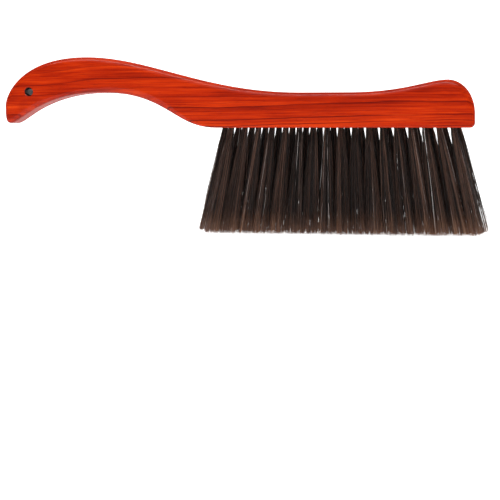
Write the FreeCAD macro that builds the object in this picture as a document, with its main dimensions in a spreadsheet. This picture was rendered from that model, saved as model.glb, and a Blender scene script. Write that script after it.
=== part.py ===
import FreeCAD, Part
import math
import os

import Sketcher
from FreeCAD import Placement, Rotation, Vector

# Neck duster brush: an arched wooden handle and brush block cut from one board, with two staggered
# rows of bristle tufts. Each tuft is folded over a flat-wire anchor at the bottom of a drilled hole.
# Frame: +X from the tail to the head, +Y to the back, +Z up. The brush stands on its bristle tips,
# at z = 0, and the origin is under the middle of its overall length. Millimetres.

SIZES = [
    # Side outline. Places are measured from the tail end, heights from the block's underside.
    ("handle_length", 157.5, "tail end to the heel, where the block's underside begins"),
    ("block_length", 182.5, "heel to the head end"),
    ("nose_height", 16.1, "foremost point of the tail"),
    ("nose_rise", 8.0, "upward reach of the tail's curve"),
    ("nose_fall", 7.0, "downward reach of the tail's curve"),
    ("crest_place", 60.5, "top of the arch"),
    ("crest_height", 51.1, "top of the arch"),
    ("crest_radius", 132.0, "curvature on top of the arch"),
    ("neck_runout", 60.6, "heel to where the neck has run out into the block's flat back"),
    ("back_height", 25.1, "block's flat back"),
    ("back_radius", 283.0, "curvature into the flat back"),
    ("hump_runup", 88.0, "end of the flat back to the head end"),
    ("hump_inset", 19.1, "top of the head's hump to the head end"),
    ("hump_height", 33.7, "top of the head's hump"),
    ("hump_radius", 35.8, "curvature of the hump towards the back"),
    ("brow_radius", 16.0, "curvature of the hump towards the head end"),
    ("end_height", 9.9, "top of the upright stretch of the head end"),
    ("end_rise", 13.8, "upward reach of the head end's curve"),
    ("corner_radius", 3.5, "lower corner of the head end"),
    ("heel_radius", 60.0, "curvature at the heel"),
    ("arch_place", 72.3, "top of the hollow under the arch"),
    ("arch_height", 25.6, "top of the hollow under the arch"),
    ("arch_radius", 140.0, "curvature of the hollow under the arch"),
    ("lip_place", 3.8, "lowest point of the tail"),
    ("lip_height", 3.5, "lowest point of the tail"),
    ("lip_radius", 3.6, "curvature of the tail's lowest point"),
    ("lip_reach", 4.4, "forward reach of the lip's curve"),
    # Board and its rounded edges
    ("board_thickness", 22.0, "board, front to back"),
    ("grip_round", 3.2, "edge rounding from the tail's nose to the top of the arch"),
    ("neck_round", 5.4, "edge rounding where the neck has run out"),
    ("back_round", 5.0, "edge rounding along the flat back"),
    ("hump_round", 5.2, "edge rounding on the hump"),
    ("end_round", 4.2, "edge rounding at the head end"),
    ("corner_round", 2.2, "edge rounding at the lower corner"),
    ("base_round", 1.0, "edge rounding along the underside"),
    ("arch_round", 4.6, "edge rounding in the hollow under the arch"),
    ("lip_round", 2.6, "edge rounding at the lip"),
    # Hang hole through the tail
    ("hang_diameter", 6.0, "hang hole"),
    ("hang_place", 19.0, "hang hole's axis from the tail end"),
    ("hang_height", 26.2, "hang hole's axis above the underside"),
    ("hang_rim", 0.5, "broken edge of the hang hole"),
    # Bristle field
    ("first_inset", 4.6, "heel to the first tuft of the back row"),
    ("last_inset", 10.0, "last tuft of the back row to the head end"),
    ("row_spacing", 8.0, "front row to back row"),
    ("row_shift", 0.6, "front row's shift towards the head from the exact half pitch"),
    ("free_length", 75.0, "underside to the trimmed tips"),
    ("tail_fan", 11.5, "lean of the first tuft towards the tail, degrees"),
    ("head_fan", 13.5, "lean of the last tuft towards the head, degrees"),
    ("side_fan", 3.0, "lean of each row outwards, degrees"),
    ("tuft_diameter", 4.2, "tuft where it leaves the wood"),
    ("tip_gap", 0.4, "clear space between neighbouring tufts at their tips"),
    ("hole_depth", 13.0, "drilled depth"),
    ("hole_clearance", 0.02, "tuft to the wall of its hole, all round"),
    ("floor_clearance", 0.3, "fold of the tuft to the floor of its hole"),
    # Flat-wire anchor
    ("wire_thickness", 0.4, "anchor along the row"),
    ("wire_height", 2.0, "anchor along the hole"),
    ("anchor_bite", 0.7, "how far each end of the anchor bites into the wood beyond the hole"),
    ("fold_height", 1.2, "fibre folded over the anchor"),
]
BACK_TUFTS = 18
FRONT_TUFTS = BACK_TUFTS - 1

size = {alias: value for alias, value, meaning in SIZES}
os.makedirs("parts", exist_ok=True)
doc = FreeCAD.newDocument("neck_duster")


# ---------------------------------------------------------------------------------------------
# Sheet of sizes
# ---------------------------------------------------------------------------------------------

def make_sheet():
    sheet = doc.addObject("Spreadsheet::Sheet", "Sizes")
    for line, (alias, value, meaning) in enumerate(SIZES, start=1):
        sheet.set(f"A{line}", meaning)
        sheet.set(f"B{line}", str(value))
        sheet.setAlias(f"B{line}", alias)
    doc.recompute()
    return sheet


def add(kind, name, **bound):
    """Add an object and bind its named properties to expressions on the sheet."""
    item = doc.addObject(kind, name)
    for prop, expression in bound.items():
        item.setExpression(prop, expression)
    return item


def origin_plane(body, role):
    return next(plane for plane in body.Origin.OriginFeatures if plane.Role == role)


# ---------------------------------------------------------------------------------------------
# Side outline of the board
# ---------------------------------------------------------------------------------------------

HEAD_END = "Sizes.handle_length + Sizes.block_length"


def place(alias):
    return f"Sizes.{alias}"


def reach(rise, radius):
    """Length of a curve's handle that gives the radius of curvature at a level end."""
    return f"sqrt(2 / 3 * ({rise}) * Sizes.{radius})"


# Joints of the outline, in order along the underside to the tail and back over the top:
# place, height, edge rounding there
JOINTS = {
    "toe": (f"{HEAD_END} - Sizes.corner_radius", "0", "base_round"),
    "heel": (place("handle_length"), "0", "base_round"),
    "arch": (place("arch_place"), place("arch_height"), "arch_round"),
    "lip": (place("lip_place"), place("lip_height"), "lip_round"),
    "nose": ("0", place("nose_height"), "grip_round"),
    "crest": (place("crest_place"), place("crest_height"), "grip_round"),
    "neck": ("Sizes.handle_length + Sizes.neck_runout", place("back_height"), "neck_round"),
    "back": (f"{HEAD_END} - Sizes.hump_runup", place("back_height"), "back_round"),
    "hump": (f"{HEAD_END} - Sizes.hump_inset", place("hump_height"), "hump_round"),
    "brow": (HEAD_END, place("end_height"), "end_round"),
    "end": (HEAD_END, place("corner_radius"), "corner_round"),
}

CREST_RISE = "Sizes.crest_height - Sizes.nose_height - Sizes.nose_rise"
NECK_DROP = "Sizes.crest_height - Sizes.back_height"
HUMP_RISE = "Sizes.hump_height - Sizes.back_height"
BROW_DROP = "Sizes.hump_height - Sizes.end_height - Sizes.end_rise"
ARCH_DROP = "Sizes.arch_height - Sizes.lip_height"

# How each stretch runs from one joint to the next. A curve has two handles, each an offset from
# its own joint: along the board, then up.
STRETCHES = [
    ("toe", "heel", None, None),
    ("heel", "arch", (f"-{reach('Sizes.arch_height', 'heel_radius')}", "0"),
     (reach("Sizes.arch_height", "arch_radius"), "0")),
    ("arch", "lip", (f"-{reach(ARCH_DROP, 'arch_radius')}", "0"),
     (reach(ARCH_DROP, "lip_radius"), "0")),
    ("lip", "nose", ("-Sizes.lip_reach", "0"), ("0", "-Sizes.nose_fall")),
    ("nose", "crest", ("0", "Sizes.nose_rise"), (f"-{reach(CREST_RISE, 'crest_radius')}", "0")),
    ("crest", "neck", (reach(NECK_DROP, "crest_radius"), "0"),
     (f"-{reach(NECK_DROP, 'back_radius')}", "0")),
    ("neck", "back", None, None),
    ("back", "hump", (reach(HUMP_RISE, "back_radius"), "0"),
     (f"-{reach(HUMP_RISE, 'hump_radius')}", "0")),
    ("hump", "brow", (reach(BROW_DROP, "brow_radius"), "0"), ("0", "Sizes.end_rise")),
    ("brow", "end", None, None),
    ("end", "toe", "arc", None),
]


def evaluate(expression):
    return float(sheet.evalExpression(expression.replace("Sizes.", "")))


def fix_point(sketch, geometry, vertex, along, up):
    """Hold a point of the sketch at two expressions, or on an axis where one is zero."""
    for axis, kind, expression in ((-2, "DistanceX", along), (-1, "DistanceY", up)):
        if expression == "0":
            sketch.addConstraint(Sketcher.Constraint("PointOnObject", geometry, vertex, axis))
            continue
        value = evaluate(expression)
        index = sketch.addConstraint(
            Sketcher.Constraint(kind, -1, 1, geometry, vertex, value))
        sketch.setExpression(f"Constraints[{index}]", expression)


def offset(joint, handle):
    """Expressions for the pole at a handle's offset from its joint."""
    both = []
    for base, step in zip(JOINTS[joint][:2], handle):
        both.append(base if step == "0" else step if base == "0" else f"{base} + {step}")
    return both


def add_curve(sketch, start, end, start_handle, end_handle):
    """Cubic curve between two joints, its four poles held by the sheet."""
    poles = [JOINTS[start][:2], offset(start, start_handle), offset(end, end_handle),
             JOINTS[end][:2]]
    points = [Vector(evaluate(along), evaluate(up), 0) for along, up in poles]
    curve = Part.BSplineCurve()
    curve.buildFromPolesMultsKnots(points, [4, 4], [0, 1], False, 3)
    index = sketch.addGeometry(curve, False)
    for number, point in enumerate(points):
        circle = sketch.addGeometry(Part.Circle(point, Vector(0, 0, 1), 1.0), True)
        sketch.addConstraint(Sketcher.Constraint(
            "InternalAlignment:Sketcher::BSplineControlPoint", circle, 3, index, number))
        sketch.addConstraint(Sketcher.Constraint("Weight", circle, 1.0))
        if number in (1, 2):
            fix_point(sketch, circle, 3, *poles[number])
    return index


def add_outline(sketch):
    ends = []
    for start, end, first, second in STRETCHES:
        points = [Vector(evaluate(JOINTS[name][0]), evaluate(JOINTS[name][1]), 0)
                  for name in (start, end)]
        if first is None:
            index = sketch.addGeometry(Part.LineSegment(*points), False)
            ends.append((index, 1, 2))
        elif first == "arc":
            centre = Vector(points[1].x, points[0].y, 0)
            circle = Part.Circle(centre, Vector(0, 0, 1), size["corner_radius"])
            quarter = Part.ArcOfCircle(circle, -math.pi / 2, 0)
            index = sketch.addGeometry(quarter, False)
            radius = sketch.addConstraint(
                Sketcher.Constraint("Radius", index, size["corner_radius"]))
            sketch.setExpression(f"Constraints[{radius}]", "Sizes.corner_radius")
            ends.append((index, 2, 1))
        else:
            index = add_curve(sketch, start, end, first, second)
            ends.append((index, 1, 2))
        fix_point(sketch, index, ends[-1][1], *JOINTS[start][:2])
    for before, after in zip(ends, ends[1:] + ends[:1]):
        sketch.addConstraint(
            Sketcher.Constraint("Coincident", before[0], before[2], after[0], after[1]))


# ---------------------------------------------------------------------------------------------
# Bristle field: where each tuft stands and how it leans
# ---------------------------------------------------------------------------------------------

def tuft_sites():
    """Name, root on the underside (from the tail end) and lean of each tuft, row by row."""
    start = size["handle_length"] + size["first_inset"]
    end = size["handle_length"] + size["block_length"] - size["last_inset"]
    pitch = (end - start) / (BACK_TUFTS - 1)
    rows = [
        ("front", -1, start + pitch / 2 + size["row_shift"], FRONT_TUFTS),
        ("back", 1, start, BACK_TUFTS),
    ]
    sites = []
    for row, side, first, count in rows:
        for number in range(count):
            along = first + number * pitch
            share = (along - start) / (end - start)
            lean = -size["tail_fan"] + share * (size["tail_fan"] + size["head_fan"])
            down = Vector(math.tan(math.radians(lean)),
                          side * math.tan(math.radians(size["side_fan"])), -1)
            root = Vector(along, side * size["row_spacing"] / 2, size["free_length"])
            sites.append((f"{row}_{number + 1:02d}", row, root, down.normalize()))
    return pitch, sites


def flare_radius(pitch, length):
    """Radius of a tuft at its tips: neighbours keep the tip gap where the fan is steepest."""
    turn = math.radians((size["tail_fan"] + size["head_fan"]) / (BACK_TUFTS - 1))
    steepest = math.cos(math.radians(max(size["tail_fan"], size["head_fan"])))
    along_row = min(pitch + length * turn, pitch * steepest + length * turn / steepest)
    half = (pitch + length * turn) / 2 - size["row_shift"]
    across = size["row_spacing"] + 2 * length * math.tan(math.radians(size["side_fan"]))
    return (min(along_row, math.hypot(half, across)) - size["tip_gap"]) / 2


def farthest_tip(root, down, root_radius, slope):
    """Farthest a leaning cone reaches along X at the tips' level."""
    apex = root - down * (root_radius / math.tan(slope))
    in_plane = math.hypot(down.x, down.z)
    angle = math.atan2(down.x, -down.z) + math.asin(math.sin(slope) / in_plane)
    return apex.x + apex.z * math.tan(angle)


pitch, sites = tuft_sites()
steepest_lean = math.radians(max(size["tail_fan"], size["head_fan"]))
slant_length = size["free_length"] / math.cos(steepest_lean)
tip_radius = flare_radius(pitch, size["free_length"])
root_radius = size["tuft_diameter"] / 2
flare_slope = math.atan((tip_radius - root_radius) / slant_length)
# The cone runs on past the tips by its own spread, so that the trim cuts all of it
flare_length = slant_length + 2 * tip_radius
flare_end_radius = root_radius + flare_length * math.tan(flare_slope)
overall_length = max(farthest_tip(root, down, root_radius, flare_slope)
                     for name, row, root, down in sites)
overall_length = max(overall_length, size["handle_length"] + size["block_length"])
middle = Vector(overall_length / 2, 0, 0)


def at_site(root, down, height):
    """Placement on a tuft's axis, at a height above the underside measured along that axis."""
    turn = Rotation(Vector(0, 0, 1), -down)
    return Placement(root - middle - down * height, turn)


# ---------------------------------------------------------------------------------------------
# Pieces
# ---------------------------------------------------------------------------------------------

def make_board():
    """Board with its side outline and the hang hole."""
    body = doc.addObject("PartDesign::Body", "Board")
    outline = body.newObject("Sketcher::SketchObject", "SideOutline")
    outline.AttachmentSupport = [(origin_plane(body, "XZ_Plane"), "")]
    outline.MapMode = "FlatFace"
    add_outline(outline)
    pad = body.newObject("PartDesign::Pad", "BoardPad")
    pad.Profile = outline
    pad.SideType = "Symmetric"
    pad.setExpression("Length", "Sizes.board_thickness")
    doc.recompute()
    solid_volume = pad.Shape.Volume

    circle = body.newObject("Sketcher::SketchObject", "HangCircle")
    circle.AttachmentSupport = [(origin_plane(body, "XZ_Plane"), "")]
    circle.MapMode = "FlatFace"
    centre = Vector(size["hang_place"], size["hang_height"], 0)
    ring = circle.addGeometry(
        Part.Circle(centre, Vector(0, 0, 1), size["hang_diameter"] / 2), False)
    fix_point(circle, ring, 3, "Sizes.hang_place", "Sizes.hang_height")
    width = circle.addConstraint(
        Sketcher.Constraint("Diameter", ring, size["hang_diameter"]))
    circle.setExpression(f"Constraints[{width}]", "Sizes.hang_diameter")
    pocket = body.newObject("PartDesign::Pocket", "HangHole")
    pocket.Profile = circle
    pocket.SideType = "Symmetric"
    pocket.setExpression("Length", "2 * Sizes.board_thickness")
    doc.recompute()
    bored = math.pi * size["hang_diameter"] ** 2 / 4 * size["board_thickness"]
    if abs(solid_volume - pocket.Shape.Volume - bored) > 0.01 * bored:
        raise RuntimeError("the hang hole doesn't go through the board")

    rims = [f"Edge{number}" for number, edge in enumerate(pocket.Shape.Edges, start=1)
            if edge.isClosed() and isinstance(edge.Curve, Part.Circle)]
    chamfer = body.newObject("PartDesign::Chamfer", "HangRim")
    chamfer.Base = (pocket, rims)
    chamfer.setExpression("Size", "Sizes.hang_rim")
    body.Tip = chamfer
    body.Placement = Placement(Vector(0, 0, size["free_length"]) - middle, Rotation())
    body.setExpression("Placement.Base.z", "Sizes.free_length")
    doc.recompute()
    return body


def rounded(board):
    """Board with its long edges rounded, the radius easing from each joint to the next."""
    spots = {name: Vector(evaluate(along), 0, evaluate(up))
             for name, (along, up, radius) in JOINTS.items()}

    def joint_at(vertex):
        local = board.Placement.inverse().multVec(vertex.Point)
        local.y = 0
        return min(spots, key=lambda name: spots[name].distanceToPoint(local))

    chosen = []
    for number, edge in enumerate(board.Shape.Edges, start=1):
        on_face = all(abs(abs(vertex.Y) - size["board_thickness"] / 2) < 0.001
                      for vertex in edge.Vertexes)
        level = abs(edge.Vertexes[0].Y - edge.Vertexes[-1].Y) < 0.001
        if edge.isClosed() or not on_face or not level:
            continue
        met = {joint_at(vertex) for vertex in edge.Vertexes}
        start, end = next(stretch[:2] for stretch in STRETCHES if set(stretch[:2]) == met)
        chosen.append((number, size[JOINTS[start][2]], size[JOINTS[end][2]]))
    fillet = doc.addObject("Part::Fillet", "RoundedBoard")
    fillet.Base = board
    fillet.Edges = chosen
    doc.recompute()
    return fillet


def make_hole(name, root, down):
    """Drilled hole for one tuft, started below the underside so that it opens cleanly."""
    hole = add("Part::Cylinder", f"Hole_{name}",
               Radius="Sizes.tuft_diameter / 2 + Sizes.hole_clearance",
               Height="Sizes.hole_depth + Sizes.tuft_diameter")
    hole.Placement = at_site(root, down, -size["tuft_diameter"])
    return hole


def make_anchor(name, root, down):
    """Flat wire across the bottom of a hole, its ends bitten into the wood."""
    wire = add("Part::Box", f"Anchor_{name}",
               Length="Sizes.wire_thickness",
               Width="Sizes.tuft_diameter + 2 * Sizes.hole_clearance + 2 * Sizes.anchor_bite",
               Height="Sizes.wire_height")
    width = size["tuft_diameter"] + 2 * size["hole_clearance"] + 2 * size["anchor_bite"]
    height = (size["hole_depth"] - size["floor_clearance"] - size["fold_height"]
              - size["wire_height"])
    corner = Placement(Vector(-size["wire_thickness"] / 2, -width / 2, 0), Rotation())
    wire.Placement = at_site(root, down, height).multiply(corner)
    return wire


def make_tuft(name, root, down, anchor, waste):
    """Bundle of fibres: a shank in the hole, a flare below it, trimmed level at the tips."""
    shank = add("Part::Cylinder", f"Shank_{name}",
                Radius="Sizes.tuft_diameter / 2",
                Height="Sizes.hole_depth - Sizes.floor_clearance")
    shank.Placement = at_site(root, down, 0)
    flare = add("Part::Cone", f"Flare_{name}", Radius2="Sizes.tuft_diameter / 2")
    flare.Radius1 = flare_end_radius
    flare.Height = flare_length
    flare.Placement = at_site(root, down, -flare_length)
    bundle = doc.addObject("Part::MultiFuse", f"Bundle_{name}")
    bundle.Shapes = [shank, flare]
    trimmed = doc.addObject("Part::Cut", f"Trimmed_{name}")
    trimmed.Base = bundle
    trimmed.Tool = waste
    tuft = doc.addObject("Part::Cut", f"Tuft_{name}")
    tuft.Base = trimmed
    tuft.Tool = anchor
    tuft.Label = f"tuft_{name}"
    return tuft


def make_waste():
    """Everything below the level of the trimmed tips."""
    waste = doc.addObject("Part::Box", "TrimmedAway")
    waste.Length = 2 * overall_length
    waste.Width = 2 * overall_length
    waste.Height = 2 * flare_length
    corner = Vector(-overall_length, -overall_length, -2 * flare_length)
    waste.Placement = Placement(corner, Rotation())
    return waste


def group(name, members):
    compound = doc.addObject("Part::Compound", name)
    compound.Links = members
    return compound


def cut(base, tool, name):
    result = doc.addObject("Part::Cut", name)
    result.Base = base
    result.Tool = tool
    return result


sheet = make_sheet()
board = make_board()
soft_board = rounded(board)
waste = make_waste()
holes = []
anchors = {"front": [], "back": []}
tufts = []
for name, row, root, down in sites:
    holes.append(make_hole(name, root, down))
    anchor = make_anchor(name, root, down)
    anchors[row].append(anchor)
    tufts.append(make_tuft(name, root, down, anchor, waste))

drilled = cut(soft_board, group("AllHoles", holes), "DrilledBoard")
handle = cut(drilled, group("AllAnchors", anchors["front"] + anchors["back"]), "Handle")
handle.Label = "handle"
front_anchors = group("FrontAnchors", anchors["front"])
front_anchors.Label = "anchors_front"
back_anchors = group("BackAnchors", anchors["back"])
back_anchors.Label = "anchors_back"
doc.recompute()

# ---------------------------------------------------------------------------------------------
# Checks and export
# ---------------------------------------------------------------------------------------------

nodes = [handle, front_anchors, back_anchors] + tufts
for item in doc.Objects:
    if {"Invalid", "Error"} & set(item.State):
        raise RuntimeError(f"{item.Name} failed: {item.State}")
for node in nodes:
    shape = node.Shape
    if shape.isNull() or not shape.isValid() or shape.Volume <= 0:
        raise RuntimeError(f"{node.Label} has no valid solid")
    wanted = {"anchors_front": FRONT_TUFTS, "anchors_back": BACK_TUFTS}.get(node.Label, 1)
    if len(shape.Solids) != wanted:
        raise RuntimeError(f"{node.Label} has {len(shape.Solids)} solids, not {wanted}")

rounding_share = 1 - soft_board.Shape.Volume / board.Shape.Volume
if not 0.01 < rounding_share < 0.15:
    raise RuntimeError("the rounded edges took away an unlikely share of the board")

for node in nodes:
    node.Shape.exportStep(f"parts/{node.Label}.step")
    box = node.Shape.optimalBoundingBox(False)
    print(f"{node.Label:16} volume {node.Shape.Volume:9.1f}  "
          f"x {box.XMin:8.2f} {box.XMax:8.2f}  y {box.YMin:7.2f} {box.YMax:7.2f}  "
          f"z {box.ZMin:7.2f} {box.ZMax:7.2f}")
print(f"{len(nodes)} nodes, pitch {pitch:.3f}, tip radius {tip_radius:.3f}")
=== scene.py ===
import math
import random

import bmesh
import bpy
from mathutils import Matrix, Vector


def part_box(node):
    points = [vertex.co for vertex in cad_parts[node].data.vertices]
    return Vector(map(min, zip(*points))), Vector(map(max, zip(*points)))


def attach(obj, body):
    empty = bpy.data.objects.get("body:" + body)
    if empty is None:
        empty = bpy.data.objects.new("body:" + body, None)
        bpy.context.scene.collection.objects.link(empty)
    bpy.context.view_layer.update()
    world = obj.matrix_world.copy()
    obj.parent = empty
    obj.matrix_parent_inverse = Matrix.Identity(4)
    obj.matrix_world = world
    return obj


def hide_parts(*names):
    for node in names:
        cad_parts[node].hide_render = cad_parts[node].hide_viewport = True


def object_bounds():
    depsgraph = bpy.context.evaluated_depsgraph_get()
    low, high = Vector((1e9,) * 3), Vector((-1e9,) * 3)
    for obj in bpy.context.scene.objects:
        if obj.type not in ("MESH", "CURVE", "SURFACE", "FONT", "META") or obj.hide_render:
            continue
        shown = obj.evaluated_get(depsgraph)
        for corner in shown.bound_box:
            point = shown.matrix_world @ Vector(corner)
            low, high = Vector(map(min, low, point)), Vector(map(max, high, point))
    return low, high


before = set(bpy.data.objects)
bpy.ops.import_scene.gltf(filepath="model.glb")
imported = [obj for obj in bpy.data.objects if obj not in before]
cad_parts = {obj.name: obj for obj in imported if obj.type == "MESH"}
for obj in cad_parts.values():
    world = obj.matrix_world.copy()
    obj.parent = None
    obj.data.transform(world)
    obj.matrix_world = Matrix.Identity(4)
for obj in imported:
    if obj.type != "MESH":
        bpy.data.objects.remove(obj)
cad_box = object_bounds()

# Neck duster brush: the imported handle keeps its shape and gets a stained, lacquered wood, and each
# bristle tuft becomes a bundle of separate fibres. Lengths are in metres unless a comment says mm.

MM = 0.001
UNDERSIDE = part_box("handle")[0][2]
TAIL_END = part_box("handle")[0][0]
TIP_LEVEL = cad_box[0][2]

random.seed(41)


# ---------------------------------------------------------------------------------------------
# Node helpers
# ---------------------------------------------------------------------------------------------

def new_material(name):
    material = bpy.data.materials.new(name)
    material.use_nodes = True
    tree = material.node_tree
    return material, tree, tree.nodes["Principled BSDF"]


def add_node(tree, kind, inputs=None, **settings):
    """Add a node. Inputs are values or other nodes' output sockets."""
    node = tree.nodes.new(kind)
    for name, value in settings.items():
        setattr(node, name, value)
    for key, value in (inputs or {}).items():
        feed(tree, node.inputs[key], value)
    return node


def feed(tree, socket, value):
    if isinstance(value, bpy.types.NodeSocket):
        tree.links.new(value, socket)
    else:
        socket.default_value = value


def compute(tree, operation, *values):
    node = add_node(tree, "ShaderNodeMath", dict(enumerate(values)), operation=operation)
    return node.outputs[0]


def remap(tree, value, low, high, to_low=0.0, to_high=1.0):
    """Smooth step from one range to another."""
    node = add_node(tree, "ShaderNodeMapRange", {
        "Value": value, "From Min": low, "From Max": high, "To Min": to_low, "To Max": to_high,
    }, interpolation_type="SMOOTHSTEP")
    return node.outputs["Result"]


def mix_colours(tree, share, first, second):
    """Blend of two colours: all the first at a share of 0, all the second at 1."""
    node = add_node(tree, "ShaderNodeMix", {0: share, 6: first, 7: second}, data_type="RGBA")
    return node.outputs[2]


def tint_with(tree, share, colour, plain):
    """Colour blended towards a plain one, which is given as red, green and blue."""
    return mix_colours(tree, share, colour, (*plain, 1.0))


def noise(tree, position, scale=1.0, detail=2.0, roughness=0.5):
    node = add_node(tree, "ShaderNodeTexNoise", {
        "Vector": position, "Scale": scale, "Detail": detail, "Roughness": roughness,
    })
    return node.outputs["Fac"]


def stretched_noise(tree, position, scales, **settings):
    """Noise with a scale of its own along each axis."""
    place = add_node(tree, "ShaderNodeVectorMath", {0: position, 1: scales}, operation="MULTIPLY")
    return noise(tree, place.outputs[0], **settings)


def noise_along(tree, value, scale):
    node = add_node(tree, "ShaderNodeTexNoise", {"W": value, "Scale": scale, "Detail": 1.0},
                    noise_dimensions="1D")
    return node.outputs["Fac"]


def ramp(tree, value, stops):
    node = add_node(tree, "ShaderNodeValToRGB", {"Fac": value})
    elements = node.color_ramp.elements
    while len(elements) < len(stops):
        elements.new(0.5)
    for element, (place, colour) in zip(elements, stops):
        element.position = place
        element.color = (*colour, 1.0)
    return node.outputs["Color"]


def bump(tree, height, distance, strength):
    inputs = {"Height": height, "Distance": distance, "Strength": strength}
    return add_node(tree, "ShaderNodeBump", inputs).outputs["Normal"]


# ---------------------------------------------------------------------------------------------
# Materials
# ---------------------------------------------------------------------------------------------

# Dark growth lines of the wood: height from the neck's main line, half width (both mm), depth
GRAIN_LINES = [
    (30.5, 0.50, 0.50), (25.0, 0.35, 0.35), (21.0, 0.60, 0.85), (17.2, 0.35, 0.40),
    (13.5, 0.50, 0.50), (7.0, 0.40, 0.40), (3.0, 0.30, 0.35), (0.0, 0.65, 0.95),
    (-2.6, 0.35, 0.45), (-5.6, 0.40, 0.40), (-9.3, 0.65, 0.90), (-11.4, 0.35, 0.45),
    (-13.6, 0.50, 0.80), (-17.5, 0.45, 0.60), (-20.5, 0.35, 0.50),
]
MAIN_LINE_LEVEL = UNDERSIDE - 10.0 * MM

# Growth layers lean across the board's thickness, and climb between two places along it. Each
# climb gives the two places, then the height at both.
LAYER_LEAN = 1.2
TAIL_CLIMB = (TAIL_END + 20 * MM, TAIL_END + 80 * MM, 9.5 * MM, 15.0 * MM)
BLOCK_CLIMB = (TAIL_END + 150 * MM, TAIL_END + 300 * MM, 0.0, 3.8 * MM)
DRIFT_DEPTH = 5 * MM
RIPPLE_DEPTH = 1.4 * MM

# Scales of the wood's noise fields: along the board, across it and up
DRIFT = (9.0, 22.0, 26.0)
RIPPLE = (45.0, 60.0, 90.0)
CLOUDS = (14.0, 40.0, 75.0)
STREAKS = (22.0, 1300.0, 1700.0)
FADING = (20.0, 60.0, 70.0)
WOOD_FIBRES = (28.0, 700.0, 950.0)
PORES = (170.0, 2400.0, 2400.0)
SMEARS = (40.0, 90.0, 90.0)

# Scale of the broad bands, from one growth layer to the next
BANDS = 260.0

# Shares of the fields in the wood's tone, and what is taken off their sum
FIBRE_SHARE = 0.36
BAND_SHARE = 0.26
CLOUD_SHARE = 0.40
STREAK_SHARE = 0.24
TONE_OFFSET = 0.13

# Places along the board and up. The hole's painted shade fades out between two radii, in mm.
HANG_HOLE = (TAIL_END + 19 * MM, UNDERSIDE + 26.2 * MM)
HANG_HOLE_EDGE = (3.05, 3.35)
CURL_MIDDLE = (TAIL_END + 21 * MM, UNDERSIDE + 16 * MM)
CURL_REACH = (8.5 * MM, 5.0 * MM)

# How strongly the curl and the pores show
CURL_DEPTH = 0.3
PORE_DEPTH = 0.38

# Colours are red, green and blue. Ramps give the place on the scale first.
WOOD_TONES = [
    (0.38, (0.190, 0.0060, 0.0004)),
    (0.49, (0.305, 0.0130, 0.0006)),
    (0.60, (0.405, 0.0235, 0.0012)),
    (0.74, (0.560, 0.0500, 0.0040)),
]
LINE_COLOUR = (0.095, 0.0032, 0.0010)
CURL_COLOUR = (0.170, 0.0060, 0.0016)
PORE_COLOUR = (0.110, 0.0040, 0.0012)
# Painted shade for faces turned downwards
UNDERSIDE_SHADE_COLOUR = (0.090, 0.0050, 0.0015)
# Painted shade inside the hang hole
HOLE_SHADE_COLOUR = (0.020, 0.0025, 0.0012)

# A bristle fibre's colours, from the darkest shade to the palest: along its length and at its tip
FIBRE_TONES = [
    (0.0, (0.0030, 0.0014, 0.0010)),
    (0.35, (0.0120, 0.0058, 0.0042)),
    (0.72, (0.0620, 0.0285, 0.0180)),
    (0.92, (0.1550, 0.0800, 0.0550)),
    (1.0, (0.7500, 0.7300, 0.7200)),
]
TIP_TONES = [
    (0.0, (0.0320, 0.0120, 0.0055)),
    (0.6, (0.1150, 0.0430, 0.0190)),
    (1.0, (0.3600, 0.2000, 0.1150)),
]


def dark_line(tree, layer, height, half_width):
    """Share of a dark line that follows one growth layer."""
    away = compute(tree, "ABSOLUTE", compute(tree, "SUBTRACT", layer, height))
    return remap(tree, away, 0.2 * half_width, half_width, 1.0, 0.0)


def distance_to(tree, axes, middle, reach):
    """Distance in the board's plane from a point, one unit being the reach along and up."""
    squares = []
    for value, centre, unit in zip((axes[0], axes[2]), middle, reach):
        offset = compute(tree, "DIVIDE", compute(tree, "SUBTRACT", value, centre), unit)
        squares.append(compute(tree, "MULTIPLY", offset, offset))
    return compute(tree, "SQRT", compute(tree, "ADD", *squares))


def growth_layer(tree, position, axes):
    """Height of the growth layer through each point, measured from the neck's main line."""
    tail_climb = remap(tree, axes[0], *TAIL_CLIMB)
    climb = compute(tree, "ADD", tail_climb, remap(tree, axes[0], *BLOCK_CLIMB))
    drift = stretched_noise(tree, position, DRIFT, detail=1.5)
    ripple = stretched_noise(tree, position, RIPPLE, detail=1.0)
    layer = compute(tree, "MULTIPLY_ADD", axes[1], LAYER_LEAN, axes[2])
    layer = compute(tree, "SUBTRACT", layer, climb)
    layer = compute(tree, "MULTIPLY_ADD", drift, DRIFT_DEPTH, layer)
    layer = compute(tree, "MULTIPLY_ADD", ripple, RIPPLE_DEPTH, layer)
    return compute(tree, "SUBTRACT", layer, MAIN_LINE_LEVEL)


def grain_lines(tree, layer, fade):
    """Share of the dark growth lines, which come and go along the board."""
    line = 0.0
    for height, half_width, depth in GRAIN_LINES:
        share = dark_line(tree, layer, height * MM, half_width * MM)
        line = compute(tree, "MAXIMUM", line, compute(tree, "MULTIPLY", share, depth))
    return compute(tree, "MULTIPLY", line, remap(tree, fade, 0.30, 0.58, 0.40, 1.0))


def wood_tone(tree, position, layer, fibre):
    """Mix of broad bands, clouds, fibres and fine streaks that picks the wood's colour."""
    bands = compute(tree, "MULTIPLY", noise_along(tree, layer, BANDS), BAND_SHARE)
    cloud = stretched_noise(tree, position, CLOUDS)
    streak = stretched_noise(tree, position, STREAKS)
    tone = compute(tree, "MULTIPLY_ADD", fibre, FIBRE_SHARE, bands)
    tone = compute(tree, "MULTIPLY_ADD", cloud, CLOUD_SHARE, tone)
    tone = compute(tree, "SUBTRACT", tone, TONE_OFFSET)
    return compute(tree, "MULTIPLY_ADD", streak, STREAK_SHARE, tone)


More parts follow.
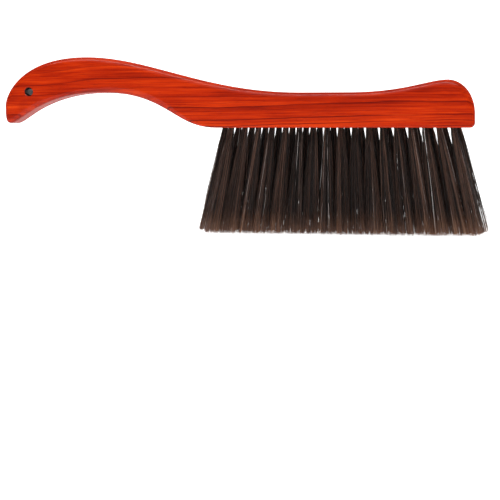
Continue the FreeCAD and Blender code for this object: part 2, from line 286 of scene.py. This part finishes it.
def curl_share(tree, axes, fade):
    """Share of a dark curl of grain beside the hang hole."""
    away = distance_to(tree, axes, CURL_MIDDLE, CURL_REACH)
    away = compute(tree, "MULTIPLY_ADD", fade, 0.9, compute(tree, "SUBTRACT", away, 0.45))
    return compute(tree, "MULTIPLY", dark_line(tree, away, 1.0, 0.50), CURL_DEPTH)


def stained_wood():
    """Red-orange stained wood: growth layers along the board, fibres, pores and a clear lacquer."""
    material, tree, shader = new_material("stained_wood")
    position = add_node(tree, "ShaderNodeTexCoord").outputs["Object"]
    axes = add_node(tree, "ShaderNodeSeparateXYZ", {0: position}).outputs
    layer = growth_layer(tree, position, axes)
    fade = stretched_noise(tree, position, FADING)
    fibre = stretched_noise(tree, position, WOOD_FIBRES, detail=3.0, roughness=0.6)
    colour = ramp(tree, wood_tone(tree, position, layer, fibre), WOOD_TONES)
    colour = tint_with(tree, grain_lines(tree, layer, fade), colour, LINE_COLOUR)
    colour = tint_with(tree, curl_share(tree, axes, fade), colour, CURL_COLOUR)

    # Open pores: short dark dashes along the grain
    pores = stretched_noise(tree, position, PORES, detail=1.0)
    pores = remap(tree, pores, 0.66, 0.74)
    colour = tint_with(tree, compute(tree, "MULTIPLY", pores, PORE_DEPTH), colour, PORE_COLOUR)

    # Painted shade: the colour is darkened on faces turned downwards, on the underside and round the
    # inside of the arch
    normal = add_node(tree, "ShaderNodeNewGeometry").outputs["Normal"]
    facing = add_node(tree, "ShaderNodeSeparateXYZ", {0: normal}).outputs[2]
    under = remap(tree, facing, -0.95, -0.35, 0.55, 0.0)
    colour = tint_with(tree, under, colour, UNDERSIDE_SHADE_COLOUR)

    # Painted shade darkens the drilled hole's wall, which is also dull
    hole = distance_to(tree, axes, HANG_HOLE, (MM, MM))
    hole = remap(tree, hole, *HANG_HOLE_EDGE, 1.0, 0.0)
    colour = tint_with(tree, hole, colour, HOLE_SHADE_COLOUR)
    feed(tree, shader.inputs["Base Color"], colour)

    gloss = compute(tree, "MULTIPLY_ADD", fibre, 0.16, 0.26)
    gloss = compute(tree, "MULTIPLY_ADD", pores, 0.15, gloss)
    feed(tree, shader.inputs["Roughness"], compute(tree, "MULTIPLY_ADD", hole, 0.6, gloss))
    shader.inputs["Specular IOR Level"].default_value = 0.0
    shader.inputs["Coat Weight"].default_value = 0.24
    shader.inputs["Coat IOR"].default_value = 1.45
    shader.inputs["Coat Roughness"].default_value = 0.22
    relief = compute(tree, "SUBTRACT", compute(tree, "MULTIPLY", fibre, 0.5), pores)
    feed(tree, shader.inputs["Normal"], bump(tree, relief, 0.10 * MM, 0.45))
    smear = stretched_noise(tree, position, SMEARS)
    feed(tree, shader.inputs["Coat Normal"], bump(tree, smear, 0.25 * MM, 0.25))
    return material


def bristle_fibre():
    """Dark brown-black fibre, lighter and browner towards its tip, each fibre a little different."""
    material, tree, shader = new_material("bristle_fibre")
    along = add_node(tree, "ShaderNodeAttribute", attribute_name="along").outputs["Fac"]
    shade = add_node(tree, "ShaderNodeAttribute", attribute_name="shade").outputs["Fac"]
    position = add_node(tree, "ShaderNodeTexCoord").outputs["Object"]
    patches = stretched_noise(tree, position, (260.0, 260.0, 60.0), detail=1.0)
    dark = ramp(tree, shade, FIBRE_TONES)
    light = ramp(tree, shade, TIP_TONES)
    worn = compute(tree, "ADD", along, compute(tree, "MULTIPLY_ADD", patches, 0.22, -0.11))
    colour = mix_colours(tree, remap(tree, worn, 0.74, 1.04), dark, light)
    feed(tree, shader.inputs["Base Color"], colour)
    feed(tree, shader.inputs["Roughness"], compute(tree, "MULTIPLY_ADD", shade, 0.15, 0.36))
    shader.inputs["Specular IOR Level"].default_value = 0.25
    shader.inputs["Sheen Weight"].default_value = 0.03
    return material


def anchor_steel():
    """Drawn flat wire with fine lines along it."""
    material, tree, shader = new_material("anchor_steel")
    position = add_node(tree, "ShaderNodeTexCoord").outputs["Object"]
    drawn = stretched_noise(tree, position, (9000.0, 300.0, 9000.0))
    tint = ramp(tree, drawn, [(0.3, (0.36, 0.35, 0.34)), (0.7, (0.62, 0.61, 0.60))])
    feed(tree, shader.inputs["Base Color"], tint)
    shader.inputs["Metallic"].default_value = 1.0
    feed(tree, shader.inputs["Roughness"], remap(tree, drawn, 0.2, 0.8, 0.25, 0.45))
    feed(tree, shader.inputs["Normal"], bump(tree, drawn, 0.02 * MM, 0.4))
    return material


# The paper's glow rises between two places from front to back: the places, then its strength at both
GLOW = (-1.3, -0.55, 0.35, 1.0)


def studio_white():
    """Matt white paper that glows evenly under and behind the brush, and less towards the front."""
    material, tree, shader = new_material("studio_white")
    position = add_node(tree, "ShaderNodeTexCoord").outputs["Object"]
    axes = add_node(tree, "ShaderNodeSeparateXYZ", {0: position}).outputs
    tooth = noise(tree, position, scale=900.0)
    feed(tree, shader.inputs["Base Color"],
         ramp(tree, tooth, [(0.3, (0.93, 0.93, 0.93)), (0.7, (0.95, 0.95, 0.95))]))
    shader.inputs["Roughness"].default_value = 0.95
    shader.inputs["Specular IOR Level"].default_value = 0.1
    shader.inputs["Emission Color"].default_value = (1.0, 1.0, 1.0, 1.0)
    feed(tree, shader.inputs["Emission Strength"], remap(tree, axes[1], *GLOW))
    return material


def paint(piece, material):
    piece.data.materials.clear()
    piece.data.materials.append(material)


# ---------------------------------------------------------------------------------------------
# Bristle tufts
# ---------------------------------------------------------------------------------------------

# Fibres in a tuft, sides of a fibre, and the shares of its length where it has a ring of points
FIBRES = 300
SIDES = 3
STEPS = [-0.035, 0.0, 0.07, 0.18, 0.33, 0.50, 0.68, 0.85, 1.0]
GOLDEN_ANGLE = math.pi * (3 - math.sqrt(5))

FIBRE_RADIUS = 0.13 * MM
FIBRE_LENGTH = 77.0 * MM
TAPER = 0.45
ROOT_RADIUS = 2.05 * MM
TIP_SPREAD = Vector((6.7 * MM, 7.4 * MM))
LOWEST_TIP = TIP_LEVEL - 1.4 * MM

# How a tuft gathers into strands, and how loosely its fibres lie. Bows, leans and the shortening of
# short fibres are in mm.
CLUMPS = 11
CLUMP_PULL = 0.50
SPLAY_SPREAD = 0.15
TURN_SPREAD = 0.34
BOW_SPREAD = 0.30
BOW_WAVES = (0.7, 1.6)
TWIST = (-0.5, 0.5)
LEAN_SPREAD = (0.6, 0.4)
FLARE = (0.68, 0.94)
THICKNESS = (0.75, 1.25)
TRIM_OFFSET = -0.5 * MM
TRIM_SPREAD = 0.45 * MM
STRAY_SHARE = 0.02
STRAY_SPLAY = (1.15, 1.5)
STRAY_BOW = 3.0
SHORT_SHARE = 0.08
SHORT_BY = (0.5, 4.0)

# Shades run from 0 to 1. Tufts that lean further are a little browner, and a few fibres are pale
SHADE_MEAN = 0.30
SHADE_SPREAD = 0.23
DARK_LIMIT = 0.92
PALE_SHARE = 0.015
LEAN_TINT = 0.16
FULL_LEAN = 14 * MM

# Texture map: first side's place in its fibre's column, and the step from side to side
COLUMN_START = 0.2
COLUMN_STEP = 0.3


def middle_at(node, low, high):
    """Middle of a CAD node's cross-section between two levels."""
    points = [vertex.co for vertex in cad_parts[node].data.vertices
              if low <= vertex.co.z <= high]
    middle = [(min(point[axis] for point in points) + max(point[axis] for point in points)) / 2
              for axis in range(3)]
    return Vector(middle)


def tuft_axis(node):
    """Where the tuft's axis leaves the wood, and where it meets the level of the tips."""
    root = middle_at(node, UNDERSIDE - MM, UNDERSIDE + MM)
    tip = middle_at(node, TIP_LEVEL - 0.2 * MM, TIP_LEVEL + 0.2 * MM)
    return root, tip


def towards(angle):
    """Level unit vector at an angle from +X."""
    return Vector((math.cos(angle), math.sin(angle), 0))


def make_clumps():
    """Strands the fibres of one tuft gather into: place in the tuft's unit disc, and shade."""
    clumps = []
    for number in range(CLUMPS):
        reach = math.sqrt((number + 0.5) / CLUMPS) * random.uniform(0.9, 1.08)
        angle = number * GOLDEN_ANGLE + random.gauss(0.0, 0.25)
        clumps.append((towards(angle) * reach, random.gauss(0.0, 0.08)))
    return clumps


def fibre_path(root, tip, number, twist, clumps, flare):
    """Points of one fibre from inside its hole to its tip, and the shade of its strand."""
    share = math.sqrt((number + 0.5) / FIBRES)
    angle = number * GOLDEN_ANGLE
    at_root = towards(angle) * share * ROOT_RADIUS
    splay = share * random.gauss(1.0, SPLAY_SPREAD) + abs(random.gauss(0.0, 0.03))
    angle += twist + random.gauss(0.0, TURN_SPREAD)
    spread = towards(angle) * splay
    clump, shade = min(clumps, key=lambda entry: (entry[0] - spread).length)
    spread = spread.lerp(clump, random.uniform(0.0, CLUMP_PULL))
    stray = random.random() < STRAY_SHARE
    if stray:
        spread *= random.uniform(*STRAY_SPLAY)
    at_tip = Vector((spread.x * TIP_SPREAD.x, spread.y * TIP_SPREAD.y, 0))

    # Fibres that lean far aside don't reach down to the level of the others
    end = Vector((tip.x, tip.y, TIP_LEVEL))
    aside = (end + at_tip - root - at_root).xy.length
    end.z = max(TIP_LEVEL, root.z - math.sqrt(FIBRE_LENGTH ** 2 - aside ** 2))
    end.z += random.gauss(TRIM_OFFSET, TRIM_SPREAD)
    if random.random() < SHORT_SHARE:
        end.z += random.uniform(*SHORT_BY) * MM
    end.z = max(end.z, LOWEST_TIP)

    bow = Vector((random.gauss(0, BOW_SPREAD), random.gauss(0, BOW_SPREAD), 0)) * MM
    if stray:
        bow *= STRAY_BOW
    wave = random.uniform(*BOW_WAVES) * math.pi
    path = []
    for step in STEPS:
        below = max(step, 0.0)
        point = root.lerp(end, step) + at_root.lerp(at_tip, below ** flare)
        path.append(point + bow * math.sin(below * wave) * below ** 0.5)
    return path, shade


def add_fibre(build, path, radius):
    """Closed three-sided fibre along a path, tapering to a fine end."""
    verts, faces, along = build["verts"], build["faces"], build["along"]
    first = len(verts)
    turn = random.uniform(0, 2 * math.pi)
    for step, point in zip(STEPS, path):
        reach = max(step, 0.0)
        size = radius * (1.0 - TAPER * reach ** 2)
        for side in range(SIDES):
            verts.append(point + towards(turn + side * 2 * math.pi / SIDES) * size)
            along.append(reach)
    for ring in range(len(STEPS) - 1):
        base = first + ring * SIDES
        for side in range(SIDES):
            follow = (side + 1) % SIDES
            faces.append((base + follow, base + side,
                          base + SIDES + side, base + SIDES + follow))
    last = first + (len(STEPS) - 1) * SIDES
    faces.append(tuple(first + side for side in range(SIDES)))
    faces.append(tuple(last + side for side in reversed(range(SIDES))))


def fibre_shade(strand_shade, tint):
    shade = min(DARK_LIMIT, strand_shade + random.gauss(SHADE_MEAN, SHADE_SPREAD) + tint)
    if random.random() < PALE_SHARE:
        shade = random.uniform(DARK_LIMIT, 1.0)
    return max(0.0, shade)


def make_tuft(node, material):
    """Bundle of fibres that stands for one tuft of the frame."""
    root, tip = tuft_axis(node)
    build = {"verts": [], "faces": [], "along": []}
    shades = []
    twist = random.uniform(*TWIST)
    lean = Vector((random.gauss(0, LEAN_SPREAD[0]), random.gauss(0, LEAN_SPREAD[1]), 0)) * MM
    flare = random.uniform(*FLARE)
    clumps = make_clumps()
    tint = LEAN_TINT * min(1.0, abs(tip.x - root.x) / FULL_LEAN)
    for number in range(FIBRES):
        path, strand_shade = fibre_path(root, tip + lean, number, twist, clumps, flare)
        add_fibre(build, path, FIBRE_RADIUS * random.uniform(*THICKNESS))
        shades += [fibre_shade(strand_shade, tint)] * (SIDES * len(STEPS))

    mesh = bpy.data.meshes.new(f"fibres_{node}")
    mesh.from_pydata(build["verts"], [], build["faces"])
    for name, values in (("along", build["along"]), ("shade", shades)):
        mesh.attributes.new(name, "FLOAT", "POINT").data.foreach_set("value", values)
    map_fibres(mesh)
    mesh.shade_smooth()
    piece = bpy.data.objects.new(f"fibres_{node}", mesh)
    bpy.context.scene.collection.objects.link(piece)
    paint(piece, material)
    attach(piece, "root")
    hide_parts(node)


def map_fibres(mesh):
    """Texture map with a column for each fibre, its length running up the column."""
    layer = mesh.uv_layers.new(name="OFBake")
    per_fibre = SIDES * len(STEPS)
    for loop in mesh.loops:
        fibre, place = divmod(loop.vertex_index, per_fibre)
        ring, side = divmod(place, SIDES)
        layer.data[loop.index].uv = (
            (fibre + COLUMN_START + COLUMN_STEP * side) / FIBRES, ring / (len(STEPS) - 1))


# ---------------------------------------------------------------------------------------------
# Studio
# ---------------------------------------------------------------------------------------------

# Paper sweep. Its floor lies just under the longest fibres, which end below the tips' level.
FLOOR_LEVEL = TIP_LEVEL - 2 * MM
HALF_WIDTH = 4.0
FRONT_EDGE = -3.0
BEND_START = 1.3
BEND_RADIUS = 1.0
BEND_PARTS = 12
WALL_HEIGHT = 4.0

# Soft lights: name, place, target, width, depth, watts
LIGHTS = [
    ("softbox_above", (-0.10, -0.15, 1.30), (0.0, 0.0, 0.06), 1.3, 0.7, 4.0),
    ("strip_above", (0.0, -0.32, 0.95), (0.0, 0.0, 0.09), 1.3, 0.12, 11.0),
    ("softbox_front", (0.15, -1.15, 1.10), (0.05, 0.0, 0.06), 1.1, 0.7, 3.5),
]
SURROUNDINGS = 0.28

EYE_DISTANCE = 0.700
EYE_AZIMUTH = math.radians(6.5)
VIEW_CENTRE = Vector((TAIL_END + 180.7 * MM, 0.0, UNDERSIDE - 89.55 * MM))
LENS = 68.75
SENSOR = 36.0


def make_sweep():
    """Paper sweep: a floor that curves up into a back wall."""
    profile = [(FRONT_EDGE, 0.0), (BEND_START, 0.0)]
    for number in range(1, BEND_PARTS + 1):
        angle = number * math.pi / (2 * BEND_PARTS)
        profile.append((BEND_START + BEND_RADIUS * math.sin(angle),
                        BEND_RADIUS * (1 - math.cos(angle))))
    profile.append((BEND_START + BEND_RADIUS, WALL_HEIGHT))
    grid = bmesh.new()
    edges = [[grid.verts.new((x, y, FLOOR_LEVEL + z)) for x in (-HALF_WIDTH, HALF_WIDTH)]
             for y, z in profile]
    for (left, right), (next_left, next_right) in zip(edges, edges[1:]):
        grid.faces.new((left, right, next_right, next_left))
    mesh = bpy.data.meshes.new("paper_sweep")
    grid.to_mesh(mesh)
    grid.free()
    mesh.shade_smooth()
    sweep = bpy.data.objects.new("paper_sweep", mesh)
    bpy.context.scene.collection.objects.link(sweep)
    paint(sweep, studio_white())


def aim(thing, target):
    direction = Vector(target) - thing.location
    thing.rotation_euler = direction.to_track_quat("-Z", "Y").to_euler()


def add_light(name, place, target, width, depth, watts):
    lamp = bpy.data.lights.new(name, "AREA")
    lamp.shape = "RECTANGLE"
    lamp.size = width
    lamp.size_y = depth
    lamp.energy = watts
    light = bpy.data.objects.new(name, lamp)
    light.location = place
    bpy.context.scene.collection.objects.link(light)
    aim(light, target)


def set_world(strength):
    world = bpy.data.worlds.new("studio")
    world.use_nodes = True
    background = world.node_tree.nodes["Background"]
    background.inputs["Color"].default_value = (1.0, 1.0, 1.0, 1.0)
    background.inputs["Strength"].default_value = strength
    bpy.context.scene.world = world


def set_camera():
    """Eye level with the block's underside, a little towards the head, looking slightly down."""
    lens = bpy.data.cameras.new("camera")
    lens.lens = LENS
    lens.sensor_width = SENSOR
    camera = bpy.data.objects.new("camera", lens)
    camera.location = (VIEW_CENTRE.x + EYE_DISTANCE * math.sin(EYE_AZIMUTH),
                       -EYE_DISTANCE * math.cos(EYE_AZIMUTH), UNDERSIDE)
    bpy.context.scene.collection.objects.link(camera)
    aim(camera, VIEW_CENTRE)
    bpy.context.scene.camera = camera


# ---------------------------------------------------------------------------------------------
# Putting it together
# ---------------------------------------------------------------------------------------------

paint(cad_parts["handle"], stained_wood())
steel = anchor_steel()
for anchors in ("anchors_front", "anchors_back"):
    paint(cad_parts[anchors], steel)

fibre = bristle_fibre()
for name in sorted(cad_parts):
    if name.startswith("tuft_"):
        make_tuft(name, fibre)

make_sweep()
set_world(SURROUNDINGS)
for light in LIGHTS:
    add_light(*light)
set_camera()
bpy.context.scene.view_settings.view_transform = "Standard"
